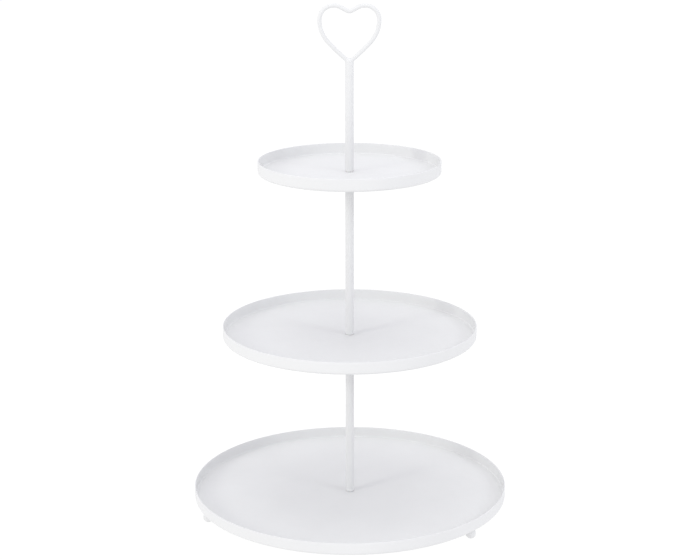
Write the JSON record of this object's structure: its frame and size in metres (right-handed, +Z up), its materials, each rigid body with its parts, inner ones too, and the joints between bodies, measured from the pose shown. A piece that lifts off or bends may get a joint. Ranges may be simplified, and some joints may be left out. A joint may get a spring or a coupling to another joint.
{
  "type": "tiered cake stand",
  "caption": "Tiered cake stand of round rimmed metal trays on a thin screwed centre stem, with a bent-wire heart handle on top and ball feet.",
  "frame": {"origin": "on the stem's axis, at the level that the feet stand on", "axes": "+Z up along the stem; the heart lies in the XZ plane and the stand is seen from -Y"},
  "size_m": [0.3, 0.3, 0.4813],
  "materials": {
    "powder_coat": "white satin powder coat",
    "zinc_plate": "bright zinc plate",
    "nylon": "translucent white nylon"
  },
  "bodies": {
    "base": {"base_tray": "powder_coat", "foot_rear": "powder_coat", "foot_left": "powder_coat", "foot_right": "powder_coat"},
    "base_washer": {"base_screw_washer": "zinc_plate"},
    "base_screw": {"base_screw": "zinc_plate"},
    "lower_washer": {"base_tray_over_washer": "nylon"},
    "lower_stem": {"lower_stem_tube": "powder_coat", "lower_stem_foot_insert": "powder_coat", "lower_stem_top_insert": "powder_coat", "middle_joint_stud": "zinc_plate", "middle_tray_under_washer": "nylon"},
    "middle_tray": {"middle_tray": "powder_coat"},
    "middle_washer": {"middle_tray_over_washer": "nylon"},
    "middle_stem": {"middle_stem_tube": "powder_coat", "middle_stem_foot_insert": "powder_coat", "middle_stem_top_insert": "powder_coat", "top_joint_stud": "zinc_plate", "top_tray_under_washer": "nylon"},
    "top_tray": {"top_tray": "powder_coat"},
    "upper_washer": {"top_tray_over_washer": "nylon"},
    "upper_stem": {"upper_stem_tube": "powder_coat", "upper_stem_foot_insert": "powder_coat", "upper_stem_plug": "zinc_plate", "heart_handle": "powder_coat"}
  },
  "joints": [
    {"name": "base_screw_travel", "type": "slide", "parent": "base", "child": "base_washer", "axis": [0, 0, -1], "range_m": [0, 0.0049]},
    {"name": "base_screw_turn", "type": "hinge", "parent": "base_washer", "child": "base_screw", "pos_m": [0, 0, 0.008], "axis": [0, 0, -1], "range_deg": [0, 2520]},
    {"name": "lower_stem_travel", "type": "slide", "parent": "base", "child": "lower_washer", "axis": [0, 0, 1], "range_m": [0, 0.0049]},
    {"name": "lower_stem_turn", "type": "hinge", "parent": "lower_washer", "child": "lower_stem", "pos_m": [0, 0, 0.0106], "axis": [0, 0, 1], "range_deg": [0, 2520]},
    {"name": "middle_stem_travel", "type": "slide", "parent": "lower_stem", "child": "middle_washer", "axis": [0, 0, 1], "range_m": [0, 0.0056]},
    {"name": "middle_stem_turn", "type": "hinge", "parent": "middle_washer", "child": "middle_stem", "pos_m": [0, 0, 0.1698], "axis": [0, 0, 1], "range_deg": [0, 2880]},
    {"name": "upper_stem_travel", "type": "slide", "parent": "middle_stem", "child": "upper_washer", "axis": [0, 0, 1], "range_m": [0, 0.0056]},
    {"name": "upper_stem_turn", "type": "hinge", "parent": "upper_washer", "child": "upper_stem", "pos_m": [0, 0, 0.3272], "axis": [0, 0, 1], "range_deg": [0, 2880]},
    {"name": "middle_tray_turn", "type": "hinge", "parent": "lower_stem", "child": "middle_tray", "pos_m": [0, 0, 0.1682], "axis": [0, 0, 1], "continuous": true},
    {"name": "top_tray_turn", "type": "hinge", "parent": "middle_stem", "child": "top_tray", "pos_m": [0, 0, 0.3256], "axis": [0, 0, 1], "continuous": true}
  ],
  "couplings": [
    {"joint": "base_screw_turn", "follows": "base_screw_travel", "rad_per_m": 8976},
    {"joint": "lower_stem_turn", "follows": "lower_stem_travel", "rad_per_m": 8976},
    {"joint": "middle_stem_turn", "follows": "middle_stem_travel", "rad_per_m": 8976},
    {"joint": "upper_stem_turn", "follows": "upper_stem_travel", "rad_per_m": 8976}
  ]
}
